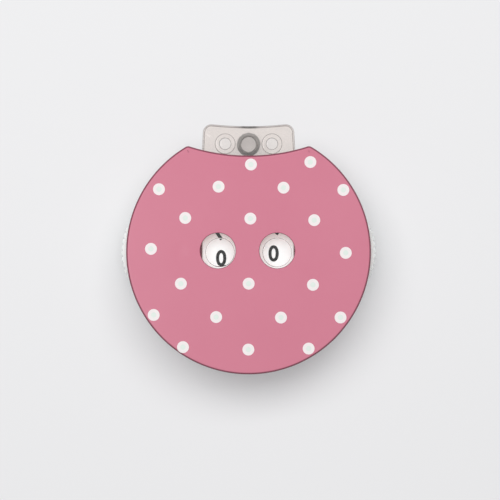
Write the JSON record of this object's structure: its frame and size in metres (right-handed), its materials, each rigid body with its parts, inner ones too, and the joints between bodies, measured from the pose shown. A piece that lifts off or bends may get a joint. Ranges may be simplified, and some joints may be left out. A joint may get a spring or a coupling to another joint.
{
  "type": "knitting row counter",
  "caption": "Flat round row counter with numbered thumb wheels read through windows in a cover plate, and a clear tab that squeezes open a sprung clip on its back.",
  "frame": {"origin": "on the flat back of the clip, straight behind the centre of the round cover plate", "axes": "+Z out of the face through the cover plate, +Y towards the clear tab, +X to the reader's right"},
  "size_m": [0.0506, 0.0496, 0.0124],
  "materials": {
    "cover": "gloss pink moulded plastic with printed white dots",
    "clear_case": "clear moulded styrene",
    "wheel": "white moulded plastic, satin",
    "spring_steel": "bright drawn spring steel"
  },
  "bodies": {
    "case": {"front_cover": "cover", "front_shell": "clear_case", "rear_shell": "clear_case", "tens_click_spring": "spring_steel", "ones_click_spring": "spring_steel", "hinge_pin": "spring_steel", "clip_spring": "spring_steel"},
    "tens_wheel": {"tens_wheel": "wheel"},
    "ones_wheel": {"ones_wheel": "wheel"},
    "clip": {"clip_lever": "clear_case"}
  },
  "joints": [
    {"name": "tens_wheel_spin", "type": "hinge", "parent": "case", "child": "tens_wheel", "pos_m": [-0.0135, 0, 0.00745], "axis": [0, 0, 1], "continuous": true},
    {"name": "ones_wheel_spin", "type": "hinge", "parent": "case", "child": "ones_wheel", "pos_m": [0.0135, 0, 0.00745], "axis": [0, 0, 1], "continuous": true},
    {"name": "clip_hinge", "type": "hinge", "parent": "case", "child": "clip", "pos_m": [0, 0.01456, 0.00235], "axis": [1, 0, 0], "range_deg": [0, 12], "stiffness_Nm_per_rad": 0.117, "springref_deg": -7.96, "deforming": ["clip_spring"]}
  ]
}
